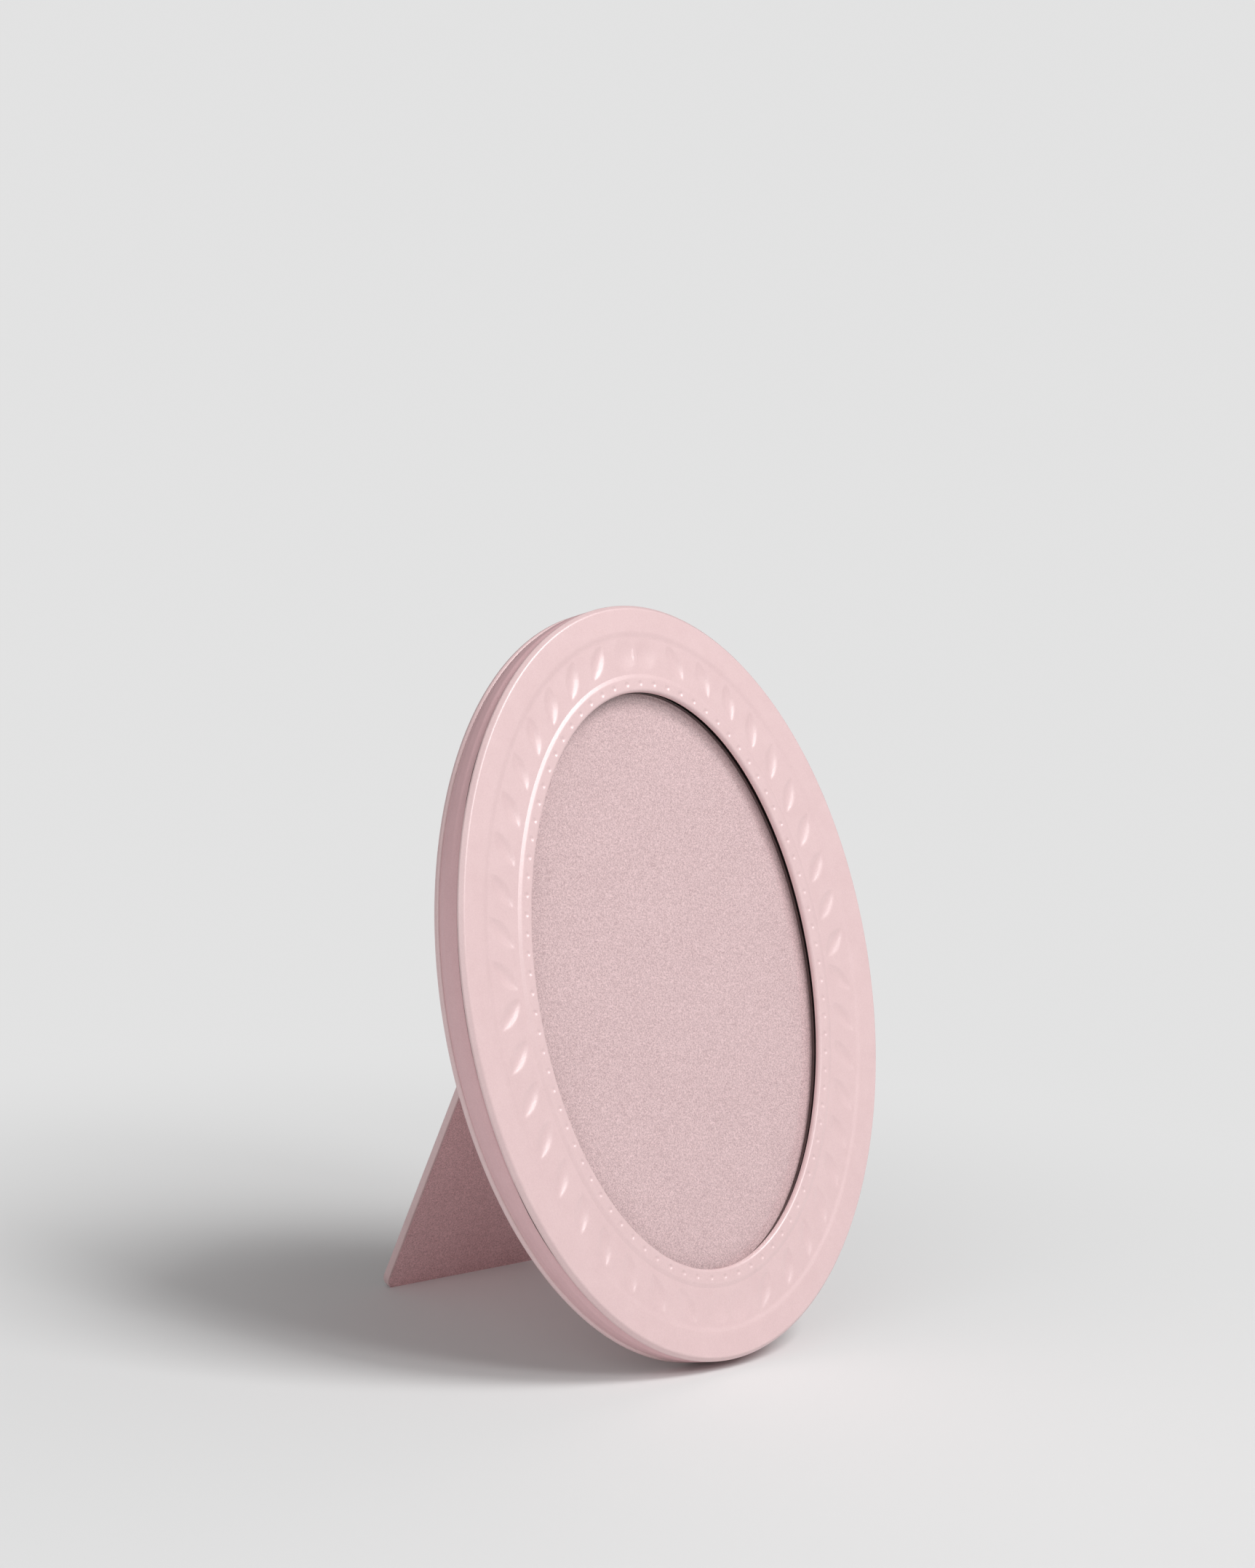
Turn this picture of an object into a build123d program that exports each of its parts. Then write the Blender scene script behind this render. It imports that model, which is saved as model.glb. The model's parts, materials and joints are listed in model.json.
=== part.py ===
from build123d import *
from math import atan2, cos, degrees, hypot, pi, radians, sin
import os

# Oval tabletop picture frame in tooled leather, leaning back on a folding easel leg.
# Millimetres, +Z up, the front faces -Y. The origin is on the table, under the middle of the box.

# Whole frame
half_width = 71.5
half_height = 96.4
band_width = 22.7
lean_angle = 17.0
oval_angles = [-28, 0, 28, 45, 62, 90, 118, 135, 152, 180, 208, 225, 242, 270, 298, 315, 332]

# Clearances
fit_clearance = 0.2
snug_clearance = 0.03
running_clearance = 0.05
turning_gap = 0.1
cut_overrun = 1.0

# Front panel: tooled leather wrapped round a thin board
face_leather_thickness = 0.9
face_board_thickness = 0.7
outer_rim_width = 7.4
channel_width = 11.2
channel_depth = 0.45
panel_edge_bevel = 0.9
panel_back_bevel = 0.6
window_lip_bevel = 1.0

# Wreath of leaves pressed into the channel, with a pair of lobes at its top and bottom
leaf_press_depth = 0.25
leaf_length = 9.5
leaf_breadth = 3.9
leaf_pitch = 10.4
leaf_turn = 34.0
leaves_per_quarter = 10
first_leaf_distance = 14.0
leaf_corner_shares = [
    (-1, 0),
    (-0.42, 0.9),
    (0.42, 0.9),
    (1, 0),
    (0.42, -0.9),
    (-0.42, -0.9),
]
wreath_steps = 1000
lobe_radius = 3.2
lobe_spread = 3.05
lobe_sides = 12

# Body ring with its leather band
body_depth = 7.2
side_leather_thickness = 0.7
shoulder_bevel = 1.0
glass_lap = 0.8
glass_play = 0.5
back_rebate_depth = 1.5
back_opening_inset = 16.6

# Back rim: a thin ring of card under leather
rim_card_thickness = 1.2
rim_leather_thickness = 0.6
rim_edge_bevel = 0.8

# Display stack behind the window
glass_front_gap = 1.0
glass_thickness = 1.8
display_suede_thickness = 0.5
display_board_thickness = 1.2

# Back panel
panel_suede_thickness = 0.6

# Turn buttons that hold the back panel
button_inset = 11.2
button_angle = 42.0
button_width = 6.0
button_reach = 11.0
button_thickness = 0.8
screw_shank_radius = 0.9
screw_head_radius = 2.1
screw_head_height = 0.7
screw_slot_width = 0.6
screw_slot_depth = 0.35
screw_grip = 4.5
head_sides = 12
hole_sides = 6

# Hinge
hinge_height = 51.4
leg_spread_angle = 35.5
pin_radius = 0.75
pin_end_length = 0.6
leaf_thickness = 0.7
leaf_width = 22.0
leaf_corner_radius = 2.0
middle_knuckle_width = 10.0
knuckle_gap = 0.2
leaf_swing_gap = 0.4
fixed_leaf_height = 14.0
moving_leaf_length = 20.0
stop_tab_length = 4.5
stop_gap = 0.15
rivet_radius = 0.8
rivet_head_radius = 1.6
rivet_head_height = 0.5
rivet_spacing = 7.0
fixed_rivet_height = 9.0
moving_rivet_distance = 14.0

# Easel leg
leg_top_half_width = 16.4
leg_bottom_half_width = 31.9
leg_top_gap = 3.0
leg_corner_radius = 4.0
leg_leather_thickness = 0.6
leg_board_thickness = 1.3
leg_suede_thickness = 0.5
fold_gap = 0.5

# Depths behind the front surface
panel_depth = face_leather_thickness + face_board_thickness
ring_front = panel_depth + side_leather_thickness
body_back = panel_depth + body_depth
rebate_front = body_back - back_rebate_depth
card_back = body_back + rim_card_thickness
frame_depth = card_back + rim_leather_thickness
glass_front = panel_depth + glass_front_gap
glass_back = glass_front + glass_thickness
display_suede_back = glass_back + display_suede_thickness
display_board_back = display_suede_back + display_board_thickness
panel_board_back = frame_depth - panel_suede_thickness

# Insets from the outline of the frame
window_inset = band_width
glass_inset = window_inset - glass_lap
glass_pocket_inset = glass_inset - glass_play
display_inset = glass_pocket_inset + fit_clearance
wreath_inset = outer_rim_width + channel_width / 2
back_panel_inset = back_opening_inset + fit_clearance

# Hinge and leg
bore_radius = pin_radius + running_clearance
knuckle_radius = bore_radius + leaf_thickness
axis_depth = frame_depth + knuckle_radius
leaf_root = bore_radius + leaf_thickness / 2
leaf_start = knuckle_radius + leaf_swing_gap
fixed_rivet_level = hinge_height + fixed_rivet_height
side_knuckle_width = (leaf_width - middle_knuckle_width) / 2 - knuckle_gap
leg_inner = knuckle_radius - fold_gap
leg_board_inner = leg_inner - leg_suede_thickness
leg_board_outer = leg_board_inner - leg_board_thickness
leg_outer = leg_board_outer - leg_leather_thickness

# Where the leaning frame stands: the first corner of the bevelled back edge touches the table
lean = radians(lean_angle)
leg_tilt = radians(leg_spread_angle - lean_angle)
face_height = half_height * cos(lean) + (frame_depth - rim_edge_bevel) * sin(lean)
axis_rise = face_height + hinge_height * cos(lean) - axis_depth * sin(lean)
axis_back = hinge_height * sin(lean) + axis_depth * cos(lean)
leg_length = (axis_rise - leg_outer * sin(leg_tilt)) / cos(leg_tilt)
foot_back = axis_back + leg_length * sin(leg_tilt) - leg_outer * cos(leg_tilt)
toe_front = (half_height - panel_edge_bevel) * sin(lean)
face_offset = (toe_front - foot_back) / 2

# Planes: the front surface, the hinge axis and the leg
face = Plane(
    origin=(0, face_offset, face_height), x_dir=(1, 0, 0), z_dir=(0, -cos(lean), sin(lean))
)
axis_point = face.from_local_coords((0, hinge_height, -axis_depth))
hinge_section = Plane(origin=axis_point, x_dir=face.y_dir, z_dir=(1, 0, 0))
leg = Plane(origin=axis_point, x_dir=(1, 0, 0), z_dir=(0, -cos(leg_tilt), -sin(leg_tilt)))

quarters = [(1, 1), (-1, 1), (-1, -1), (1, -1)]
button_across = (half_width - button_inset) * cos(radians(button_angle))
button_along = (half_height - button_inset) * sin(radians(button_angle))
button_pivots = [(side * button_across, level * button_along) for side, level in quarters]
fixed_rivet_places = [-rivet_spacing, 0, rivet_spacing]
moving_rivet_places = [-rivet_spacing, rivet_spacing]


def layer(depth):
    """The plane that lies at a depth behind the front surface."""
    return face.offset(-depth)


def oval(inset, mode=Mode.ADD):
    """The frame's outline drawn in by an inset: eight arcs through points of an ellipse."""
    across = half_width - inset
    along = half_height - inset
    points = [
        (across * cos(radians(angle)), along * sin(radians(angle))) for angle in oval_angles
    ]
    with BuildSketch(mode=Mode.PRIVATE) as outline:
        with BuildLine():
            for start in range(0, len(points) - 1, 2):
                ThreePointArc(*points[start : start + 3])
        make_face()
    add(outline.sketch, mode=mode)


def leaf_locations():
    """Places and turns of the wreath's leaves, walked from the top down and mirrored."""
    across = half_width - wreath_inset
    along = half_height - wreath_inset
    places = []
    travelled = 0
    here = (0, along)
    for step in range(1, wreath_steps + 1):
        angle = pi / 2 * (1 - step / wreath_steps)
        there = (across * cos(angle), along * sin(angle))
        travelled += hypot(there[0] - here[0], there[1] - here[1])
        here = there
        if len(places) < leaves_per_quarter:
            if travelled >= first_leaf_distance + len(places) * leaf_pitch:
                heading = atan2(along * cos(angle), -across * sin(angle)) - radians(leaf_turn)
                places.append((here, (cos(heading), sin(heading))))
    return [
        Location(
            (side * point[0], level * point[1], 0),
            (0, 0, degrees(atan2(level * aim[1], side * aim[0]))),
        )
        for point, aim in places
        for side, level in quarters
    ]


def button_plane(side, level, depth):
    """A plane at a button's pivot, with its x along the locked button and its z backwards."""
    pivot = layer(depth).from_local_coords((side * button_across, level * button_along, 0))
    inward_x = -side * (half_height - button_inset) * cos(radians(button_angle))
    inward_y = -level * (half_width - button_inset) * sin(radians(button_angle))
    direction = face.x_dir * inward_x + face.y_dir * inward_y
    return Plane(origin=pivot, x_dir=direction, z_dir=-face.z_dir)


def button_holes():
    """Pilot holes for the screws of the turn buttons."""
    with Locations(*button_pivots):
        RegularPolygon(screw_shank_radius + snug_clearance, hole_sides, major_radius=False)


def rivet_shanks(height, places, clearance, mode=Mode.ADD):
    """Shanks of a row of rivets at a height on a plane, or their holes."""
    with Locations(*[(place, height) for place in places]):
        RegularPolygon(rivet_radius + clearance, hole_sides, major_radius=False, mode=mode)


def leg_outline(inset):
    """The tapered leg with rounded lower corners, drawn in by an inset."""
    taper = (leg_bottom_half_width - leg_top_half_width) / leg_length
    top = leg_top_gap + inset
    top_half = leg_top_half_width + taper * leg_top_gap - inset
    Polygon(
        (top_half, -top),
        (-top_half, -top),
        (inset - leg_bottom_half_width, -leg_length),
        (leg_bottom_half_width - inset, -leg_length),
        align=None,
    )
    fillet(vertices().group_by(Axis.Y)[0], leg_corner_radius - inset)


os.makedirs("parts", exist_ok=True)

# Front panel board
with BuildPart() as face_board:
    with BuildSketch(layer(panel_depth)):
        oval(face_leather_thickness)
        oval(window_inset - face_leather_thickness, Mode.SUBTRACT)
    extrude(amount=face_board_thickness)
face_board.part.label = "face_board"
export_step(face_board.part, "parts/face_board.step")

# One leaf of the wreath: a pointed oval
with BuildSketch() as leaf_shape:
    Polygon(
        *[(x * leaf_length / 2, y * leaf_breadth / 2) for x, y in leaf_corner_shares], align=None
    )

# Front panel leather: bevelled outer edges and window lip, a sunk channel and its wreath
with BuildPart() as face_leather:
    with BuildSketch(layer(panel_depth)):
        oval(panel_back_bevel)
    with BuildSketch(layer(panel_depth - panel_back_bevel)):
        oval(0)
    with BuildSketch(layer(0)):
        oval(panel_edge_bevel)
    loft(ruled=True)
    with BuildSketch(layer(panel_depth)):
        oval(window_inset)
    with BuildSketch(layer(window_lip_bevel)):
        oval(window_inset)
    with BuildSketch(layer(0)):
        oval(window_inset - window_lip_bevel)
    loft(ruled=True, mode=Mode.SUBTRACT)
    with BuildSketch(layer(channel_depth)):
        oval(outer_rim_width)
        oval(outer_rim_width + channel_width, Mode.SUBTRACT)
    extrude(amount=channel_depth + cut_overrun, mode=Mode.SUBTRACT)
    with BuildSketch(layer(channel_depth + leaf_press_depth)):
        with Locations(*leaf_locations()):
            add(leaf_shape.sketch)
        for level in (1, -1):
            with Locations(
                (lobe_spread, level * (half_height - wreath_inset)),
                (-lobe_spread, level * (half_height - wreath_inset)),
            ):
                RegularPolygon(lobe_radius, lobe_sides)
    extrude(amount=channel_depth + leaf_press_depth, mode=Mode.SUBTRACT)
    add(face_board.part, mode=Mode.SUBTRACT)
face_leather.part.label = "face_leather"
export_step(face_leather.part, "parts/face_leather.step")

# Body ring: glass pocket in front, rebate for the back panel behind
with BuildPart() as body_ring:
    with BuildSketch(layer(body_back)):
        oval(side_leather_thickness)
        oval(glass_pocket_inset, Mode.SUBTRACT)
    extrude(amount=body_back - ring_front)
    with BuildSketch(layer(body_back)):
        oval(back_opening_inset)
    extrude(amount=back_rebate_depth, mode=Mode.SUBTRACT)
    with BuildSketch(layer(body_back)):
        button_holes()
    extrude(amount=screw_grip, mode=Mode.SUBTRACT)
body_ring.part.label = "body_ring"
export_step(body_ring.part, "parts/body_ring.step")

# Side band leather, turned over the ring's front as far as the glass pocket
with BuildPart() as side_leather:
    with BuildSketch(layer(body_back)):
        oval(0)
    with BuildSketch(layer(panel_depth + shoulder_bevel)):
        oval(0)
    with BuildSketch(layer(panel_depth)):
        oval(shoulder_bevel)
    loft(ruled=True)
    with BuildSketch(layer(body_back)):
        oval(side_leather_thickness)
    extrude(amount=body_back - ring_front, mode=Mode.SUBTRACT)
    with BuildSketch(layer(ring_front)):
        oval(glass_pocket_inset)
    extrude(amount=side_leather_thickness, mode=Mode.SUBTRACT)
side_leather.part.label = "side_leather"
export_step(side_leather.part, "parts/side_leather.step")

# Back rim card
with BuildPart() as back_rim_card:
    with BuildSketch(layer(card_back)):
        oval(rim_leather_thickness)
        oval(back_opening_inset, Mode.SUBTRACT)
    extrude(amount=rim_card_thickness)
    with BuildSketch(layer(card_back)):
        button_holes()
    extrude(amount=rim_card_thickness, mode=Mode.SUBTRACT)
back_rim_card.part.label = "back_rim_card"
export_step(back_rim_card.part, "parts/back_rim_card.step")

# Back rim leather, turned round the outer edge
with BuildPart() as back_rim_leather:
    with BuildSketch(layer(body_back)):
        oval(0)
    with BuildSketch(layer(frame_depth - rim_edge_bevel)):
        oval(0)
    with BuildSketch(layer(frame_depth)):
        oval(rim_edge_bevel)
    loft(ruled=True)
    with BuildSketch(layer(frame_depth)):
        oval(back_opening_inset)
    extrude(amount=frame_depth - body_back, mode=Mode.SUBTRACT)
    with BuildSketch(layer(card_back)):
        oval(rim_leather_thickness)
    extrude(amount=rim_card_thickness, mode=Mode.SUBTRACT)
    with BuildSketch(layer(frame_depth)):
        button_holes()
    extrude(amount=rim_leather_thickness, mode=Mode.SUBTRACT)
back_rim_leather.part.label = "back_rim_leather"
export_step(back_rim_leather.part, "parts/back_rim_leather.step")

# Glass pane: it rests on the bottom of its pocket
glass_drop = glass_play - snug_clearance
with BuildPart() as glass_pane:
    with BuildSketch(layer(glass_back)):
        with Locations((0, -glass_drop)):
            oval(glass_inset)
    extrude(amount=glass_thickness)
glass_pane.part.label = "glass_pane"
export_step(glass_pane.part, "parts/glass_pane.step")

# Suede shown behind the glass
with BuildPart() as display_suede:
    with BuildSketch(layer(display_suede_back)):
        oval(display_inset)
    extrude(amount=display_suede_thickness)
display_suede.part.label = "display_suede"
export_step(display_suede.part, "parts/display_suede.step")

# Board that carries the suede
with BuildPart() as display_board:
    with BuildSketch(layer(display_board_back)):
        oval(display_inset)
    extrude(amount=display_board_thickness)
display_board.part.label = "display_board"
export_step(display_board.part, "parts/display_board.step")

# Soft pad that presses the stack against the panel
with BuildPart() as pressure_pad:
    with BuildSketch(layer(rebate_front)):
        oval(display_inset)
    extrude(amount=rebate_front - display_board_back)
pressure_pad.part.label = "pressure_pad"
export_step(pressure_pad.part, "parts/pressure_pad.step")

# Back panel board
with BuildPart() as back_panel_board:
    with BuildSketch(layer(panel_board_back)):
        oval(back_panel_inset)
    extrude(amount=panel_board_back - rebate_front)
    with BuildSketch(layer(panel_board_back)):
        rivet_shanks(fixed_rivet_level, fixed_rivet_places, snug_clearance)
    extrude(amount=panel_board_back - rebate_front, mode=Mode.SUBTRACT)
back_panel_board.part.label = "back_panel_board"
export_step(back_panel_board.part, "parts/back_panel_board.step")

# Suede over the back panel
with BuildPart() as back_panel_suede:
    with BuildSketch(layer(frame_depth)):
        oval(back_panel_inset)
    extrude(amount=panel_suede_thickness)
    with BuildSketch(layer(frame_depth)):
        rivet_shanks(fixed_rivet_level, fixed_rivet_places, snug_clearance)
    extrude(amount=panel_suede_thickness, mode=Mode.SUBTRACT)
back_panel_suede.part.label = "back_panel_suede"
export_step(back_panel_suede.part, "parts/back_panel_suede.step")

# Turn buttons: flat brass plates that swivel on the rim and lap over the back panel
button_bottom = frame_depth + turning_gap
button_top = button_bottom + button_thickness
for number, (side, level) in enumerate(quarters, 1):
    with BuildPart() as turn_button:
        with BuildSketch(button_plane(side, level, button_bottom)):
            with Locations(((button_reach - button_width / 2) / 2, 0)):
                SlotCenterToCenter(button_reach - button_width / 2, button_width)
        extrude(amount=button_thickness)
        with BuildSketch(button_plane(side, level, button_bottom)):
            Circle(screw_shank_radius + running_clearance)
        extrude(amount=button_thickness, mode=Mode.SUBTRACT)
    turn_button.part.label = f"turn_button_{number}"
    export_step(turn_button.part, f"parts/turn_button_{number}.step")

# Screws that the buttons swivel on
head_bottom = button_top + turning_gap
head_top = head_bottom + screw_head_height
screw_tip = body_back - screw_grip
with BuildPart() as button_screws:
    for side, level in quarters:
        with BuildSketch(button_plane(side, level, screw_tip)):
            Circle(screw_shank_radius)
        extrude(amount=head_bottom - screw_tip)
        with BuildSketch(button_plane(side, level, head_bottom)):
            RegularPolygon(screw_head_radius, head_sides)
        extrude(amount=screw_head_height)
        with BuildSketch(button_plane(side, level, head_top - screw_slot_depth)):
            Rectangle(2 * screw_head_radius + cut_overrun, screw_slot_width)
        extrude(amount=screw_slot_depth + cut_overrun, mode=Mode.SUBTRACT)
button_screws.part.label = "button_screws"
export_step(button_screws.part, "parts/button_screws.step")

# Fixed hinge leaf on the back panel, with its two outer knuckles
leaf_back = frame_depth + leaf_thickness
with BuildPart() as hinge_fixed_leaf:
    with BuildSketch(layer(leaf_back)):
        with Locations((0, hinge_height + fixed_leaf_height / 2)):
            Rectangle(leaf_width, fixed_leaf_height)
        fillet(vertices().group_by(Axis.Y)[-1], leaf_corner_radius)
        with Locations((0, hinge_height)):
            Rectangle(
                middle_knuckle_width + 2 * knuckle_gap, 2 * leaf_start, mode=Mode.SUBTRACT
            )
        rivet_shanks(fixed_rivet_level, fixed_rivet_places, snug_clearance, Mode.SUBTRACT)
    extrude(amount=leaf_thickness)
    knuckle_inner = middle_knuckle_width / 2 + knuckle_gap
    for start in (knuckle_inner, -knuckle_inner - side_knuckle_width):
        with BuildSketch(hinge_section.offset(start)):
            Circle(knuckle_radius)
        extrude(amount=side_knuckle_width)
        with BuildSketch(hinge_section.offset(start)):
            Circle(bore_radius)
        extrude(amount=side_knuckle_width, mode=Mode.SUBTRACT)
hinge_fixed_leaf.part.label = "hinge_fixed_leaf"
export_step(hinge_fixed_leaf.part, "parts/hinge_fixed_leaf.step")

# Rivets of the fixed leaf
with BuildPart() as fixed_leaf_rivets:
    with BuildSketch(layer(leaf_back)):
        rivet_shanks(fixed_rivet_level, fixed_rivet_places, 0)
    extrude(amount=leaf_back - rebate_front)
    with BuildSketch(layer(leaf_back + rivet_head_height)):
        with Locations(*[(place, fixed_rivet_level) for place in fixed_rivet_places]):
            RegularPolygon(rivet_head_radius, head_sides)
    extrude(amount=rivet_head_height)
fixed_leaf_rivets.part.label = "fixed_leaf_rivets"
export_step(fixed_leaf_rivets.part, "parts/fixed_leaf_rivets.step")

# Hinge pin
with BuildPart() as hinge_pin:
    with BuildSketch(hinge_section):
        Circle(pin_radius)
    extrude(amount=leaf_width / 2 + pin_end_length, both=True)
hinge_pin.part.label = "hinge_pin"
export_step(hinge_pin.part, "parts/hinge_pin.step")

# Moving hinge leaf: middle knuckle, plate let into the leg board, stop tab
with BuildPart() as hinge_moving_leaf:
    with BuildSketch(leg.offset(leg_board_inner - leaf_thickness)):
        with Locations((0, -(leaf_start + moving_leaf_length) / 2)):
            Rectangle(leaf_width, moving_leaf_length - leaf_start)
        fillet(vertices().group_by(Axis.Y)[0], leaf_corner_radius)
        with Locations((0, -(leaf_root + leaf_start) / 2)):
            Rectangle(middle_knuckle_width, leaf_start - leaf_root)
        rivet_shanks(
            -moving_rivet_distance, moving_rivet_places, snug_clearance, Mode.SUBTRACT
        )
    extrude(amount=leaf_thickness)
    with BuildSketch(hinge_section.offset(-middle_knuckle_width / 2)):
        Circle(knuckle_radius)
    extrude(amount=middle_knuckle_width)
    with BuildSketch(layer(leaf_back + stop_gap + leaf_thickness)):
        with Locations((0, hinge_height + (leaf_root + stop_tab_length) / 2)):
            Rectangle(middle_knuckle_width, stop_tab_length - leaf_root)
    extrude(amount=leaf_thickness)
    with BuildSketch(hinge_section.offset(-middle_knuckle_width / 2)):
        Circle(bore_radius)
    extrude(amount=middle_knuckle_width, mode=Mode.SUBTRACT)
hinge_moving_leaf.part.label = "hinge_moving_leaf"
export_step(hinge_moving_leaf.part, "parts/hinge_moving_leaf.step")

# Rivets of the moving leaf, flush on both sides of the leg board
with BuildPart() as moving_leaf_rivets:
    with BuildSketch(leg.offset(leg_board_outer)):
        rivet_shanks(-moving_rivet_distance, moving_rivet_places, 0)
    extrude(amount=leg_board_thickness)
moving_leaf_rivets.part.label = "moving_leaf_rivets"
export_step(moving_leaf_rivets.part, "parts/moving_leaf_rivets.step")

# Room inside the leg's leather, cut level above the table, with a slot for the moving leaf
inside_floor = Plane.XY.offset(leg_leather_thickness)
with BuildPart() as leg_space:
    with BuildSketch(leg.offset(leg_board_outer)):
        leg_outline(leg_leather_thickness)
    extrude(amount=leg_inner - leg_board_outer)
    split(bisect_by=inside_floor, keep=Keep.TOP)
with BuildPart() as leaf_slot:
    with BuildSketch(leg.offset(leg_board_inner - leaf_thickness)):
        with Locations((0, -moving_leaf_length / 2)):
            Rectangle(leaf_width + 2 * snug_clearance, moving_leaf_length + 2 * snug_clearance)
    extrude(amount=leaf_thickness)

# Leg board
with BuildPart() as leg_board:
    with BuildSketch(leg.offset(leg_board_outer)):
        leg_outline(leg_leather_thickness)
    extrude(amount=leg_board_thickness)
    split(bisect_by=inside_floor, keep=Keep.TOP)
    add(leaf_slot.part, mode=Mode.SUBTRACT)
    with BuildSketch(leg.offset(leg_board_outer)):
        rivet_shanks(-moving_rivet_distance, moving_rivet_places, snug_clearance)
    extrude(amount=leg_board_thickness, mode=Mode.SUBTRACT)
leg_board.part.label = "leg_board"
export_step(leg_board.part, "parts/leg_board.step")

# Leg suede on the side that faces the frame
with BuildPart() as leg_suede:
    with BuildSketch(leg.offset(leg_board_inner)):
        leg_outline(leg_leather_thickness)
    extrude(amount=leg_suede_thickness)
    split(bisect_by=inside_floor, keep=Keep.TOP)
leg_suede.part.label = "leg_suede"
export_step(leg_suede.part, "parts/leg_suede.step")

# Leg leather: the outer side turned round the edges, cut level to stand on the table
with BuildPart() as leg_leather:
    with BuildSketch(leg.offset(leg_outer)):
        leg_outline(0)
    extrude(amount=leg_inner - leg_outer)
    split(bisect_by=Plane.XY, keep=Keep.TOP)
    add(leg_space.part, mode=Mode.SUBTRACT)
    add(leaf_slot.part, mode=Mode.SUBTRACT)
leg_leather.part.label = "leg_leather"
export_step(leg_leather.part, "parts/leg_leather.step")
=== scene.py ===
import json
import math

import bmesh
import bpy
import numpy as np
from bpy.props import FloatProperty, FloatVectorProperty, IntProperty, PointerProperty
from mathutils import Matrix, Vector


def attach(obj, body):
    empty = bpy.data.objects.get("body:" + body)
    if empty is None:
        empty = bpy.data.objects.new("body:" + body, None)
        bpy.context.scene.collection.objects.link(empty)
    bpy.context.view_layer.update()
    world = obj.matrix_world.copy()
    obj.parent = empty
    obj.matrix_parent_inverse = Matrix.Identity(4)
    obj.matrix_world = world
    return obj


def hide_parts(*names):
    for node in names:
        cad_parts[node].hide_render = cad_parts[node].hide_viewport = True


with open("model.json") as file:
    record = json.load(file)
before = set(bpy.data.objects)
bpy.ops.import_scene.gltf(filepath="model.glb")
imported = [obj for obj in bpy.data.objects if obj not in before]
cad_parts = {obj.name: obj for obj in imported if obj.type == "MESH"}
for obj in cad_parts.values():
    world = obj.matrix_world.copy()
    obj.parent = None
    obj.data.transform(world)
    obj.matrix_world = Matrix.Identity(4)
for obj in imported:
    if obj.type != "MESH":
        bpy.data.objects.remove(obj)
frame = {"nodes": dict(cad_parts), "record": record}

bl_info = {
    "name": "Oval Leather Picture Frame",
    "version": (1, 0, 0),
    "blender": (4, 5, 0),
    "location": "View3D > Sidebar > Frame",
    "description": "Tooled leather picture frame with its suede, glass, brass and easel leg",
    "category": "Object",
}

MM = 0.001
QUARTERS = [(1, 1), (-1, 1), (-1, -1), (1, -1)]
ROUND_STEPS = 8  # points on a rounded corner of a section
FACE_COLUMNS = 1500  # columns of the tooled leather round the oval
SIDE_COLUMNS = 720  # columns of the side band and of the back rim
OVAL_SAMPLES = 20001  # points that measure the oval's length
PRESS_REACH = 1.2 * MM  # how far the press looks for a stamp, up and down

# Lamps: name, direction from the frame, distance, width, power
LAMPS = [
    ("key_light", (0.27, -0.5, 0.82), 2.0, 0.75, 25.5),
    ("front_light", (0.11, -0.79, 0.60), 1.5, 0.35, 5.6),
    ("side_fill", (-0.88, -0.30, 0.40), 1.5, 1.2, 6.0),
]


# Settings

def size(name, about, default):
    """A length that the user may change, in metres."""
    return FloatProperty(name=name, description=about, default=default, subtype="DISTANCE")


def colour(name, about, default):
    """A colour that the user may change."""
    return FloatVectorProperty(
        name=name, description=about, default=default, size=3, subtype="COLOR", min=0.0, max=1.0
    )


def turn(name, about, degrees):
    """An angle that the user may change."""
    return FloatProperty(
        name=name, description=about, default=math.radians(degrees), subtype="ANGLE"
    )


class FrameSizes(bpy.types.PropertyGroup):
    """Sizes of the frame's leather, glass and leg."""

    half_width: size("Half width", "Half the width of the oval", 0.0715)
    half_height: size("Half height", "Half the height of the oval", 0.0964)
    face_rise: size("Face height", "Height of the face's middle above the table", 0.0950530)
    face_shift: size("Face place", "Place of the face's middle from front to back", -0.0236107)
    lean: turn("Lean", "How far the face leans back", 17.0)
    band: size("Band", "Width of the leather band round the window", 0.0227)
    panel: size("Panel", "Thickness of the front panel", 0.0016)
    channel_start: size("Channel start", "From the outer edge to the sunk channel", 0.0074)
    channel_width: size("Channel width", "Width of the sunk channel", 0.0112)
    channel_depth: size("Channel depth", "Depth of the sunk channel", 0.00034)
    edge_slope: size("Edge slope", "Width of the slope at the panel's outer edge", 0.00095)
    edge_depth: size("Edge depth", "Depth of the slope at the panel's outer edge", 0.00105)
    lip_radius: size("Lip radius", "Rounding of the window's lip", 0.0009)
    side_back: size("Side depth", "From the front to the back of the side band", 0.0088)
    seam: size("Seam", "Depth of the seam between the panel and the side", 0.00065)
    depth: size("Depth", "Depth of the frame without its buttons", 0.0106)
    opening: size("Back opening", "From the outer edge to the back opening", 0.0166)
    glass_front: size("Glass place", "From the front to the glass", 0.0026)
    glass_thickness: size("Glass thickness", "Thickness of the glass", 0.0018)
    glass_lap: size("Glass lap", "How far the glass reaches behind the lip", 0.0008)
    glass_drop: size("Glass drop", "How low the glass sits in its pocket", 0.00047)


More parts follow.
